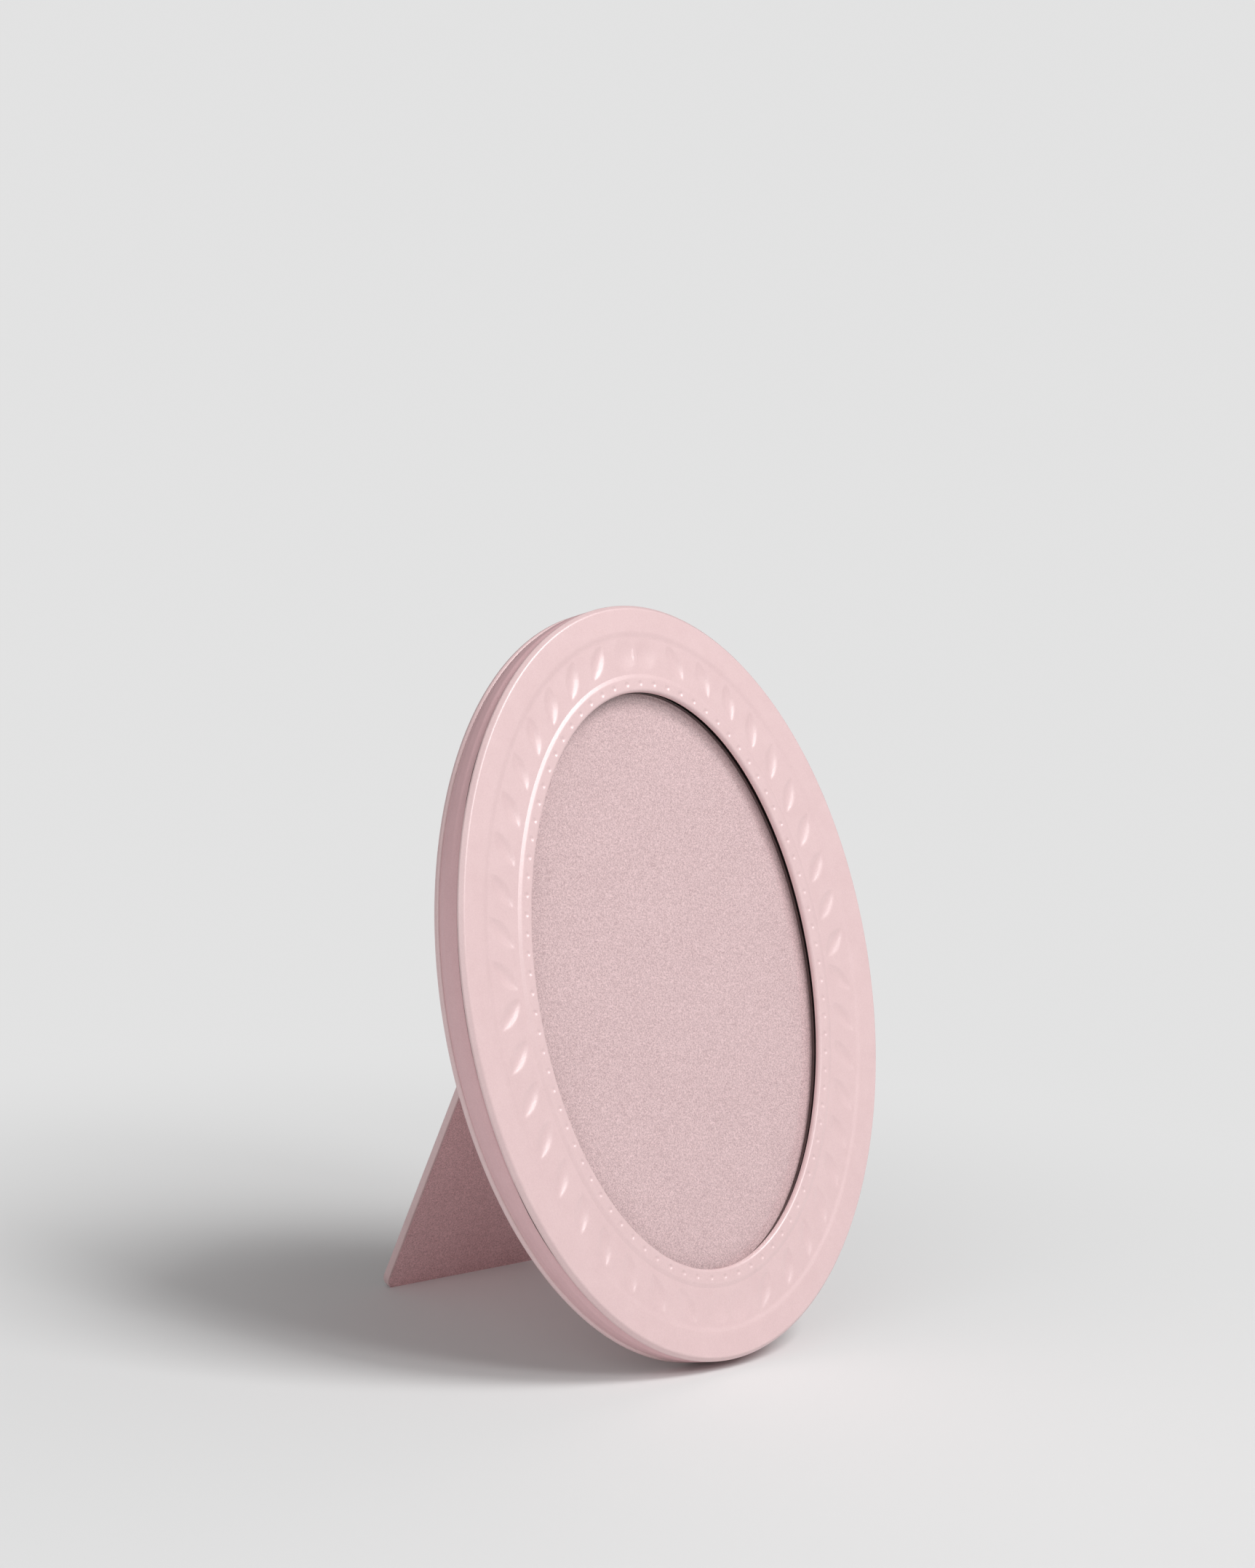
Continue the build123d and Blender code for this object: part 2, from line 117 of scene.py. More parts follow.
class ToolingSizes(bpy.types.PropertyGroup):
    """Sizes of the pattern pressed into the leather."""

    leaf_length: size("Leaf length", "Length of one leaf", 0.0100)
    leaf_breadth: size("Leaf breadth", "Breadth of one leaf", 0.0048)
    leaf_depth: size("Leaf depth", "Depth of one leaf", 0.00055)
    leaf_pitch: size("Leaf pitch", "Distance from leaf to leaf", 0.0104)
    first_leaf: size("First leaf", "Distance from the oval's top to the first leaf", 0.014)
    leaf_turn: turn("Leaf turn", "Angle between a leaf and the oval", 46.0)
    leaves: IntProperty(name="Leaves", description="Leaves in each quarter", default=10)
    lobe_spread: size("Lobe spread", "Half the distance between the two lobes", 0.0034)
    lobe_radius: size("Lobe radius", "Size of one lobe", 0.0042)
    dot_radius: size("Dot radius", "Radius of one dot", 0.00075)
    dot_depth: size("Dot depth", "Depth of one dot", 0.00028)
    dot_place: size("Dot place", "From the window's edge to the ring of dots", 0.0021)
    dots: IntProperty(name="Dots", description="Dots round the window", default=84)


class FrameColours(bpy.types.PropertyGroup):
    """Colours of the finishes."""

    leather: colour("Leather", "Smooth calf leather", (0.81, 0.61, 0.612))
    leather_low: colour("Leather shade", "Leather in its pores", (0.63, 0.44, 0.445))
    # Side colours are darker and pinker than the face leather: painted shade with pink bounce
    # light on the side band.
    side: colour("Side leather", "Calf leather round the side", (0.80, 0.53, 0.55))
    side_low: colour("Side shade", "Side leather in its pores", (0.60, 0.36, 0.38))
    suede: colour("Suede", "Display suede, light fibres", (0.81, 0.59, 0.605))
    suede_low: colour("Suede shade", "Display suede, dark fibres", (0.46, 0.305, 0.316))
    # Lining colours are pinker and lighter than the display suede: painted pink bounce light on
    # the shaded leg.
    lining: colour("Lining", "Leg and back suede, light fibres", (0.94, 0.64, 0.66))
    lining_low: colour("Lining shade", "Leg and back suede, dark fibres", (0.54, 0.32, 0.335))
    brass: colour("Brass", "Satin brass", (0.78, 0.60, 0.32))
    # The near-black ring colour is painted shade: it darkens the deep gap between the glass and
    # the lip.
    wood: colour("Wood", "Blackened ring inside the frame", (0.020, 0.010, 0.011))
    card: colour("Card", "Grey board", (0.46, 0.40, 0.33))
    felt: colour("Felt", "Soft pad", (0.70, 0.69, 0.66))
    steel: colour("Steel", "Hinge pin", (0.62, 0.62, 0.62))
    glass: colour("Glass", "Tint of the clear glass", (0.97, 0.99, 0.98))
    # The dark red-brown glass edge is painted shade for the gap between the glass and the pocket
    # wall.
    glass_edge: colour("Glass edge", "Ground edge of the glass", (0.085, 0.045, 0.045))
    glass_bevel: colour("Glass bevel", "Front bevel of the glass", (0.42, 0.47, 0.44))
    floor: colour("Floor", "Floor under the frame", (0.76, 0.76, 0.76))
    background: colour("Background", "Background behind the floor", (0.765, 0.765, 0.765))


# Shapes

def face_matrix():
    """Places a flat face, drawn in X and Y with its front up, on the leaning frame."""
    sizes = bpy.context.scene.frame_sizes
    s, c = math.sin(sizes.lean), math.cos(sizes.lean)
    return Matrix(
        (
            (1.0, 0.0, 0.0, 0.0),
            (0.0, s, -c, sizes.face_shift),
            (0.0, c, s, sizes.face_rise),
            (0.0, 0.0, 0.0, 1.0),
        )
    )


def leg_place():
    """The leg's hinge point and how far the open leg leans from the upright."""
    joint = next(j for j in frame["record"]["behaviour"]["joints"] if j["name"] == "leg_fold")
    tilt = math.radians(joint["range_deg"][1]) - bpy.context.scene.frame_sizes.lean
    return joint["pos_m"], tilt


def leg_matrix():
    """Places a flat leg, drawn downwards from its hinge, at its open angle."""
    (_, y, z), tilt = leg_place()
    s, c = math.sin(tilt), math.cos(tilt)
    return Matrix(((1, 0, 0, 0), (0, -s, -c, y), (0, c, -s, z), (0, 0, 0, 1)))


def rounded_loop(corners, steps=ROUND_STEPS):
    """Points of a closed loop whose corners (x, y, radius) are rounded off."""
    points = []
    for index, (x, y, radius) in enumerate(corners):
        here = Vector((x, y))
        if radius == 0:
            points.append(here)
            continue
        back = Vector(corners[index - 1][:2]) - here
        ahead = Vector(corners[(index + 1) % len(corners)][:2]) - here
        half = back.angle(ahead) / 2
        reach = radius / math.tan(half)
        centre = here + (back.normalized() + ahead.normalized()).normalized() * (
            radius / math.sin(half)
        )
        start = here + back.normalized() * reach - centre
        end = here + ahead.normalized() * reach - centre
        for step in range(steps + 1):
            points.append(centre + start.lerp(end, step / steps).normalized() * radius)
    return points


def split_spans(points, low, high, step):
    """Adds points to the front spans of a section between two insets."""
    deepest = 0.9 * MM
    result = []
    for index, here in enumerate(points):
        result.append(here)
        there = points[(index + 1) % len(points)]
        span = (there - here).length
        front = max(here.y, there.y) < deepest
        between = min(here.x, there.x) > low and max(here.x, there.x) < high
        if front and between and span > step:
            count = math.ceil(span / step)
            result += [here.lerp(there, i / count) for i in range(1, count)]
    return result


def oval_angles(inset, count):
    """Angles that divide the oval at an inset into equal lengths."""
    sizes = bpy.context.scene.frame_sizes
    t = np.linspace(0, 2 * math.pi, OVAL_SAMPLES)
    across, along = sizes.half_width - inset, sizes.half_height - inset
    run = np.hypot(np.diff(across * np.cos(t)), np.diff(along * np.sin(t)))
    run = np.concatenate([[0], np.cumsum(run)])
    return np.interp(np.arange(count) / count * run[-1], run, t)


def mesh_object(name, mesh, matrix=None, smooth=40):
    """An object at the origin whose mesh is moved into place and smoothed up to an angle."""
    if matrix is not None:
        mesh.transform(matrix)
    mesh.shade_smooth()
    mesh.set_sharp_from_angle(angle=math.radians(smooth))
    made = bpy.data.objects.new(name, mesh)
    bpy.context.scene.collection.objects.link(made)
    return made


def oval_shell(name, section, columns, matrix=None):
    """A closed ring that follows the oval; its section holds insets and depths."""
    sizes = bpy.context.scene.frame_sizes
    angles = oval_angles(sizes.band / 2, columns)
    inset = np.array([p.x for p in section])
    x = np.outer(sizes.half_width - inset, np.cos(angles))
    y = np.outer(sizes.half_height - inset, np.sin(angles))
    z = np.repeat([[-p.y] for p in section], columns, axis=1)
    points = np.stack([x, y, z], axis=2).reshape(-1, 3).tolist()
    rows = len(section)
    faces = []
    for row in range(rows):
        low, high = row * columns, (row + 1) % rows * columns
        for column in range(columns):
            there = (column + 1) % columns
            faces.append((low + column, low + there, high + there, high + column))
    mesh = bpy.data.meshes.new(name)
    mesh.from_pydata(points, [], faces)
    bm = bmesh.new()
    bm.from_mesh(mesh)
    if bm.calc_volume(signed=True) < 0:
        bmesh.ops.reverse_faces(bm, faces=bm.faces)
    bm.to_mesh(mesh)
    bm.free()
    return mesh_object(name, mesh, matrix)


def plate(name, loops, matrix, smooth=50):
    """A closed plate from loops of points with levels, with flat ends."""
    points = [(p.x, p.y, level) for loop, level in loops for p in loop]
    count = len(loops[0][0])
    faces = [tuple(range(count)), tuple(range(len(points) - 1, len(points) - 1 - count, -1))]
    for row in range(len(loops) - 1):
        for column in range(count):
            a, b = row * count + column, row * count + (column + 1) % count
            faces.append((a, b, b + count, a + count))
    bm = bmesh.new()
    verts = [bm.verts.new(p) for p in points]
    for face in faces:
        bm.faces.new([verts[i] for i in face])
    bmesh.ops.recalc_face_normals(bm, faces=bm.faces)
    mesh = bpy.data.meshes.new(name)
    bm.to_mesh(mesh)
    bm.free()
    return mesh_object(name, mesh, matrix, smooth)


# Tooling

def leaf_stamp():
    """A pointed oval pit, deepest along its middle."""
    tooling = bpy.context.scene.tooling_sizes
    length, breadth = tooling.leaf_length / 2, tooling.leaf_breadth / 2
    across, along = 18, 30
    point, bowl, fade = 0.85, 1.6, 0.8
    points, faces = [], []
    for i in range(along + 1):
        u = -math.cos(math.pi * i / along)
        half = breadth * (1 - u * u) ** point
        for j in range(across + 1):
            q = 2 * j / across - 1
            deep = (1 - q * q) ** bowl * (1 - u * u) ** fade
            points.append((u * length, q * half, -tooling.leaf_depth * deep))
    for i in range(along):
        for j in range(across):
            a = i * (across + 1) + j
            faces.append((a, a + across + 1, a + across + 2, a + 1))
    return stamp_object("leaf_stamp", points, faces)


def round_stamp(name, radius, depth, bowl, steps):
    """A round pit; a higher bowl value narrows its floor."""
    rings = 8
    points, faces = [(0, 0, -depth)], []
    for ring in range(1, rings + 1):
        share = ring / rings
        for i in range(steps):
            a = 2 * math.pi * i / steps
            points.append(
                (radius * share * math.cos(a), radius * share * math.sin(a),
                 -depth * (1 - share * share) ** bowl)
            )
    for i in range(steps):
        faces.append((0, 1 + i, 1 + (i + 1) % steps))
        for ring in range(rings - 1):
            a, b = 1 + ring * steps + i, 1 + ring * steps + (i + 1) % steps
            faces.append((a, a + steps, b + steps, b))
    return stamp_object(name, points, faces)


def stamp_object(name, points, faces):
    """An object that only lends its mesh to the press."""
    mesh = bpy.data.meshes.new(name)
    mesh.from_pydata(points, [], faces)
    made = bpy.data.objects.new(name, mesh)
    bpy.context.scene.collection.objects.link(made)
    return made


def places_object(name, places):
    """Points (x, y, z, turn) where a stamp is pressed."""
    made = stamp_object(name, [p[:3] for p in places], [])
    turns = made.data.attributes.new("turn", "FLOAT", "POINT")
    turns.data.foreach_set("value", [p[3] for p in places])
    return made


def leaf_places():
    """The wreath's leaves, walked from the top down to the side and mirrored."""
    sizes, tooling = bpy.context.scene.frame_sizes, bpy.context.scene.tooling_sizes
    inset = sizes.channel_start + sizes.channel_width / 2
    across, along = sizes.half_width - inset, sizes.half_height - inset
    t = np.linspace(math.pi / 2, 0, OVAL_SAMPLES // 4 + 1)
    x, y = across * np.cos(t), along * np.sin(t)
    run = np.concatenate([[0], np.cumsum(np.hypot(np.diff(x), np.diff(y)))])
    places = []
    for number in range(tooling.leaves):
        angle = float(np.interp(tooling.first_leaf + number * tooling.leaf_pitch, run, t))
        heading = (
            math.atan2(along * math.cos(angle), -across * math.sin(angle)) - tooling.leaf_turn
        )
        for side, level in QUARTERS:
            places.append(
                (
                    side * across * math.cos(angle),
                    level * along * math.sin(angle),
                    -sizes.channel_depth,
                    math.atan2(level * math.sin(heading), side * math.cos(heading)),
                )
            )
    return places


def press_tree():
    """Node tree that sinks leather onto copies of a stamp, one at each place."""
    tree = bpy.data.node_groups.new("tooling_press", "GeometryNodeTree")
    for name, kind in (
        ("Leather", "Geometry"), ("Stamp", "Object"), ("Places", "Object"),
        ("Reach", "Float"), ("Finish", "Material"),
    ):
        tree.interface.new_socket(name=name, in_out="INPUT", socket_type="NodeSocket" + kind)
    tree.interface.new_socket(
        name="Leather", in_out="OUTPUT", socket_type="NodeSocketGeometry"
    )
    add, link = tree.nodes.new, tree.links.new
    given = add("NodeGroupInput")
    stamp, places = add("GeometryNodeObjectInfo"), add("GeometryNodeObjectInfo")
    link(given.outputs["Stamp"], stamp.inputs["Object"])
    link(given.outputs["Places"], places.inputs["Object"])
    dots = add("GeometryNodeMeshToPoints")
    link(places.outputs["Geometry"], dots.inputs["Mesh"])
    turned = add("GeometryNodeInputNamedAttribute")
    turned.data_type = "FLOAT"
    turned.inputs["Name"].default_value = "turn"
    euler, rotation = add("ShaderNodeCombineXYZ"), add("FunctionNodeEulerToRotation")
    link(turned.outputs["Attribute"], euler.inputs["Z"])
    link(euler.outputs["Vector"], rotation.inputs["Euler"])
    copies = add("GeometryNodeInstanceOnPoints")
    link(dots.outputs["Points"], copies.inputs["Points"])
    link(stamp.outputs["Geometry"], copies.inputs["Instance"])
    link(rotation.outputs["Rotation"], copies.inputs["Rotation"])
    solid = add("GeometryNodeRealizeInstances")
    link(copies.outputs["Instances"], solid.inputs["Geometry"])
    here, above, source = (
        add("GeometryNodeInputPosition"), add("ShaderNodeCombineXYZ"), add("ShaderNodeVectorMath")
    )
    link(given.outputs["Reach"], above.inputs["Z"])
    link(here.outputs["Position"], source.inputs[0])
    link(above.outputs["Vector"], source.inputs[1])
    length = add("ShaderNodeMath")
    length.operation = "MULTIPLY"
    up_and_down = 2.0
    length.inputs[1].default_value = up_and_down
    link(given.outputs["Reach"], length.inputs[0])
    ray = add("GeometryNodeRaycast")
    link(solid.outputs["Geometry"], ray.inputs["Target Geometry"])
    link(source.outputs["Vector"], ray.inputs["Source Position"])
    ray.inputs["Ray Direction"].default_value = (0, 0, -1)
    link(length.outputs["Value"], ray.inputs["Ray Length"])
    hit_z, here_z, lower, both = (
        add("ShaderNodeSeparateXYZ"), add("ShaderNodeSeparateXYZ"),
        add("ShaderNodeMath"), add("FunctionNodeBooleanMath"),
    )
    lower.operation = "LESS_THAN"
    link(ray.outputs["Hit Position"], hit_z.inputs["Vector"])
    link(here.outputs["Position"], here_z.inputs["Vector"])
    link(hit_z.outputs["Z"], lower.inputs[0])
    link(here_z.outputs["Z"], lower.inputs[1])
    link(ray.outputs["Is Hit"], both.inputs[0])
    link(lower.outputs["Value"], both.inputs[1])
    sunk = add("GeometryNodeSetPosition")
    link(given.outputs["Leather"], sunk.inputs["Geometry"])
    link(both.outputs["Boolean"], sunk.inputs["Selection"])
    link(ray.outputs["Hit Position"], sunk.inputs["Position"])
    real, finish, out = (
        add("GeometryNodeRealizeInstances"), add("GeometryNodeSetMaterial"),
        add("NodeGroupOutput"),
    )
    link(sunk.outputs["Geometry"], real.inputs["Geometry"])
    link(real.outputs["Geometry"], finish.inputs["Geometry"])
    link(given.outputs["Finish"], finish.inputs["Material"])
    link(finish.outputs["Geometry"], out.inputs["Leather"])
    return tree


def press(piece, jobs, finish):
    """Presses each (stamp, places) into the piece and leaves a plain mesh."""
    tree = bpy.data.node_groups.get("tooling_press") or press_tree()
    sockets = {i.name: i.identifier for i in tree.interface.items_tree if i.in_out == "INPUT"}
    for number, (stamp, places) in enumerate(jobs):
        modifier = piece.modifiers.new(f"press_{number}", "NODES")
        modifier.node_group = tree
        modifier[sockets["Stamp"]] = stamp
        modifier[sockets["Places"]] = places
        modifier[sockets["Reach"]] = PRESS_REACH
        modifier[sockets["Finish"]] = finish
    bpy.context.view_layer.update()
    graph = bpy.context.evaluated_depsgraph_get()
    pressed = bpy.data.meshes.new_from_object(piece.evaluated_get(graph))
    piece.modifiers.clear()
    old = piece.data
    piece.data = pressed
    pressed.name = piece.name
    bpy.data.meshes.remove(old)
    for stamp, places in jobs:
        for helper in (stamp, places):
            bpy.data.objects.remove(helper)


# Finishes

def new_group(name, inputs, outputs):
    """An empty shader group with its named sockets."""
    group = bpy.data.node_groups.new(name, "ShaderNodeTree")
    for socket, kind, value in inputs:
        made = group.interface.new_socket(
            name=socket, in_out="INPUT", socket_type="NodeSocket" + kind
        )
        if value is not None:
            made.default_value = value
    for socket, kind in outputs:
        group.interface.new_socket(name=socket, in_out="OUTPUT", socket_type="NodeSocket" + kind)
    return group, group.nodes.new("NodeGroupInput"), group.nodes.new("NodeGroupOutput")


def noise(tree, vector, scale, detail, roughness=0.5):
    """A noise texture on a vector, its size in repeats for each metre."""
    made = tree.nodes.new("ShaderNodeTexNoise")
    made.inputs["Scale"].default_value = scale
    made.inputs["Detail"].default_value = detail
    made.inputs["Roughness"].default_value = roughness
    tree.links.new(vector, made.inputs["Vector"])
    return made.outputs["Fac"]


def blend(tree, share, first, second):
    """A number that goes from the first to the second input by a share."""
    made = tree.nodes.new("ShaderNodeMix")
    factor, low, high = made.inputs[0], made.inputs[2], made.inputs[3]
    for socket, value in ((factor, share), (low, first), (high, second)):
        if isinstance(value, (int, float)):
            socket.default_value = value
        else:
            tree.links.new(value, socket)
    return made.outputs[0]


def calf_grain():
    """Fine pores and a soft unevenness, for smooth leather."""
    group, given, out = new_group(
        "calf_grain", [("Vector", "Vector", None), ("Pores", "Float", 0.5)],
        [("Tone", "Float"), ("Height", "Float")],
    )
    vector = given.outputs["Vector"]
    pores = group.nodes.new("ShaderNodeTexVoronoi")
    pores.feature = "SMOOTH_F1"
    pores.inputs["Scale"].default_value = 2300.0
    pores.inputs["Smoothness"].default_value = 0.6
    group.links.new(vector, pores.inputs["Vector"])
    soft = noise(group, vector, scale=420.0, detail=4.0)
    group.links.new(
        blend(group, given.outputs["Pores"], soft, pores.outputs["Distance"]),
        out.inputs["Height"],
    )
    clouds = noise(group, vector, scale=160.0, detail=5.0, roughness=0.6)
    grain = noise(group, vector, scale=2900.0, detail=2.0)
    grain_share = 0.6
    group.links.new(blend(group, grain_share, clouds, grain), out.inputs["Tone"])
    return group


def suede_nap():
    """Short brushed fibres in light and dark tufts."""
    group, given, out = new_group(
        "suede_nap", [("Vector", "Vector", None), ("Patches", "Float", 0.14)],
        [("Tone", "Float"), ("Height", "Float")],
    )
    vector = given.outputs["Vector"]
    tufts = noise(group, vector, scale=4000.0, detail=2.0, roughness=0.6)
    strokes = noise(group, vector, scale=1900.0, detail=3.0, roughness=0.65)
    stroke_share = 0.4
    fibre = blend(group, stroke_share, tufts, strokes)
    ramp = group.nodes.new("ShaderNodeMapRange")
    ramp.inputs["From Min"].default_value = 0.40
    ramp.inputs["From Max"].default_value = 0.60
    group.links.new(fibre, ramp.inputs["Value"])
    patches = noise(group, vector, scale=60.0, detail=3.0)
    group.links.new(
        blend(group, given.outputs["Patches"], ramp.outputs["Result"], patches),
        out.inputs["Tone"],
    )
    group.links.new(fibre, out.inputs["Height"])
    return group


def grouped(name, maker):
    """The named shader group, made when it is first needed."""
    return bpy.data.node_groups.get(name) or maker()


def finish(name, light, dark=None, group=None, bump=0.0, roughness=0.6, **sockets):
    """A finish: its colours, its shared grain and the plain values of the shader."""
    made = bpy.data.materials.get(name)
    if made:
        return made
    made = bpy.data.materials.new(name)
    made.use_nodes = True
    tree = made.node_tree
    shader = tree.nodes["Principled BSDF"]
    shader.inputs["Base Color"].default_value = (*light, 1.0)
    shader.inputs["Roughness"].default_value = roughness
    for socket, value in sockets.items():
        shader.inputs[socket.replace("_", " ")].default_value = value
    if group:
        where = tree.nodes.new("ShaderNodeTexCoord")
        grain = tree.nodes.new("ShaderNodeGroup")
        grain.node_tree = group
        tree.links.new(where.outputs["Object"], grain.inputs["Vector"])
        mix = tree.nodes.new("ShaderNodeMix")
        mix.data_type = "RGBA"
        factor, low, high, result = mix.inputs[0], mix.inputs[6], mix.inputs[7], mix.outputs[2]
        low.default_value = (*dark, 1.0)
        high.default_value = (*light, 1.0)
        tree.links.new(grain.outputs["Tone"], factor)
        tree.links.new(result, shader.inputs["Base Color"])
        raised = tree.nodes.new("ShaderNodeBump")
        raised.inputs["Strength"].default_value = 1.0
        raised.inputs["Distance"].default_value = bump
        tree.links.new(grain.outputs["Height"], raised.inputs["Height"])
        tree.links.new(raised.outputs["Normal"], shader.inputs["Normal"])
    return made


def leather_finish():
    """Smooth calf leather."""
    colours = bpy.context.scene.frame_colours
    return finish(
        "calf_leather", colours.leather, colours.leather_low,
        grouped("calf_grain", calf_grain), bump=0.03 * MM, roughness=0.33,
        Specular_IOR_Level=0.75,
    )


def side_finish_painted_shade():
    """The same leather round the side, darker and pinker in colour as painted shade with pink
    bounce light on the side band.
    """
    colours = bpy.context.scene.frame_colours
    return finish(
        "stretched_calf", colours.side, colours.side_low,
        grouped("calf_grain", calf_grain), bump=0.03 * MM, roughness=0.4,
        Specular_IOR_Level=0.5,
    )


def suede_finish(name, light, dark):
    """Brushed suede in light and dark fibres."""
    return finish(
        name, light, dark, grouped("suede_nap", suede_nap), bump=0.12 * MM, roughness=0.95,
        Specular_IOR_Level=0.1,
    )


def shaded(colour_value, share):
    """A colour made darker by a share."""
    return [channel * share for channel in colour_value]


def glass_finish():
    """Clear glass that lets the light through to what lies behind it."""
    made = finish(
        "clear_glass", bpy.context.scene.frame_colours.glass, roughness=0.0,
        Transmission_Weight=1.0, IOR=1.5,
    )
    tree = made.node_tree
    shader, out = tree.nodes["Principled BSDF"], tree.nodes["Material Output"]
    clear, mix, path = (
        tree.nodes.new("ShaderNodeBsdfTransparent"), tree.nodes.new("ShaderNodeMixShader"),
        tree.nodes.new("ShaderNodeLightPath"),
    )
    through = tree.nodes.new("ShaderNodeMath")
    through.operation = "MAXIMUM"
    tree.links.new(path.outputs["Is Shadow Ray"], through.inputs[0])
    tree.links.new(path.outputs["Is Diffuse Ray"], through.inputs[1])
    tree.links.new(through.outputs["Value"], mix.inputs[0])
    tree.links.new(shader.outputs["BSDF"], mix.inputs[1])
    tree.links.new(clear.outputs["BSDF"], mix.inputs[2])
    tree.links.new(mix.outputs["Shader"], out.inputs["Surface"])
    return made


def floor_finish():
    """Pale floor that glows more and more with the background colour further out; from 5 cm out
    the glow is painted light that fades the frame's cast shadow.
    """
    colours = bpy.context.scene.frame_colours
    made = finish("floor", colours.floor, roughness=0.9, Specular_IOR_Level=0.1)
    tree = made.node_tree
    shader, out = tree.nodes["Principled BSDF"], tree.nodes["Material Output"]
    where, far, ease = (
        tree.nodes.new("ShaderNodeTexCoord"), tree.nodes.new("ShaderNodeVectorMath"),
        tree.nodes.new("ShaderNodeMapRange"),
    )
    far.operation = "LENGTH"
    tree.links.new(where.outputs["Object"], far.inputs[0])
    ease.interpolation_type = "SMOOTHSTEP"
    # The floor starts to glow 5 cm out, as painted light that lightens the cast shadow with
    # distance.
    fade_start, fade_end = 0.05, 0.34
    ease.inputs["From Min"].default_value = fade_start
    ease.inputs["From Max"].default_value = fade_end
    tree.links.new(far.outputs["Value"], ease.inputs["Value"])
    shadow_fading_glow, mix = tree.nodes.new("ShaderNodeEmission"), tree.nodes.new("ShaderNodeMixShader")
    shadow_fading_glow.inputs["Color"].default_value = (*colours.background, 1.0)
    tree.links.new(ease.outputs["Result"], mix.inputs[0])
    tree.links.new(shader.outputs["BSDF"], mix.inputs[1])
    tree.links.new(shadow_fading_glow.outputs["Emission"], mix.inputs[2])
    tree.links.new(mix.outputs["Shader"], out.inputs["Surface"])
    return made


def studio_world():
    """Soft light from all round, with the plain background where it is seen."""
    world = bpy.data.worlds.new("studio")
    world.use_nodes = True
    tree = world.node_tree
    light = tree.nodes["Background"]
    light.inputs["Color"].default_value = (1.0, 1.0, 1.0, 1.0)
    light.inputs["Strength"].default_value = 0.23
    seen = tree.nodes.new("ShaderNodeBackground")
    seen.inputs["Color"].default_value = (*bpy.context.scene.frame_colours.background, 1.0)
    path, mix = tree.nodes.new("ShaderNodeLightPath"), tree.nodes.new("ShaderNodeMixShader")
    either = tree.nodes.new("ShaderNodeMath")
    either.operation = "MAXIMUM"
    tree.links.new(path.outputs["Is Camera Ray"], either.inputs[0])
    tree.links.new(path.outputs["Is Transmission Ray"], either.inputs[1])
    tree.links.new(either.outputs["Value"], mix.inputs[0])
    tree.links.new(light.outputs["Background"], mix.inputs[1])
    tree.links.new(seen.outputs["Background"], mix.inputs[2])
    tree.links.new(mix.outputs["Shader"], tree.nodes["World Output"].inputs["Surface"])
    return world


def brass_finish():
    """Satin brass with faint handling marks."""
    colours = bpy.context.scene.frame_colours
    return finish(
        "satin_brass", colours.brass, shaded(colours.brass, 0.8),
        grouped("calf_grain", calf_grain), bump=0.005 * MM, roughness=0.3, Metallic=1.0,
    )


def dress(names, material):
    """Gives a finish to CAD nodes."""
    for name in names:
        mesh = frame["nodes"][name].data
        mesh.materials.clear()
        mesh.materials.append(material)


def own(piece, body, slot, *nodes):
    """Hangs a piece on its body in place of its CAD nodes."""
    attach(piece, body)
    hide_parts(*nodes)


# Operators

